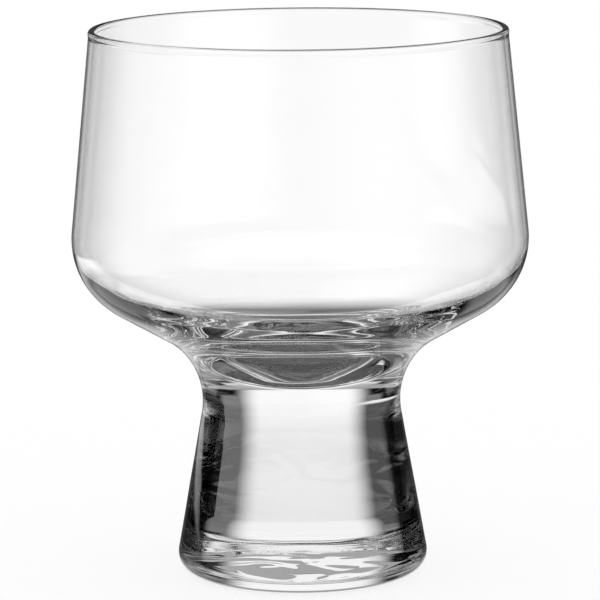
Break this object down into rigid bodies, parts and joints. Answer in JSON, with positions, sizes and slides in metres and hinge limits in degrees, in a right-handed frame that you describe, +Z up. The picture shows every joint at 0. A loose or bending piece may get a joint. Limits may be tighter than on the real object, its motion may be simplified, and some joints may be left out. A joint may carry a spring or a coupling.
{
  "type": "footed cocktail glass",
  "caption": "Squat footed cocktail glass: a wide thin-walled bowl with a rounded shoulder and fire-polished rim on a short solid flared foot.",
  "frame": {"origin": "centre of the ring that the glass stands on, on the table's surface", "axes": "+Z up along the axis of the glass, towards the rim; it is round, so +X and +Y are any two level directions"},
  "size_m": [0.0914, 0.0914, 0.11],
  "materials": {
    "bowl_glass": "clear blown glass, fire polished and smooth on both faces",
    "foot_glass": "clear pressed glass, polished, with the faint ripple of the mould"
  },
  "bodies": {
    "root": {"bowl": "bowl_glass", "foot": "foot_glass"}
  },
  "joints": []
}
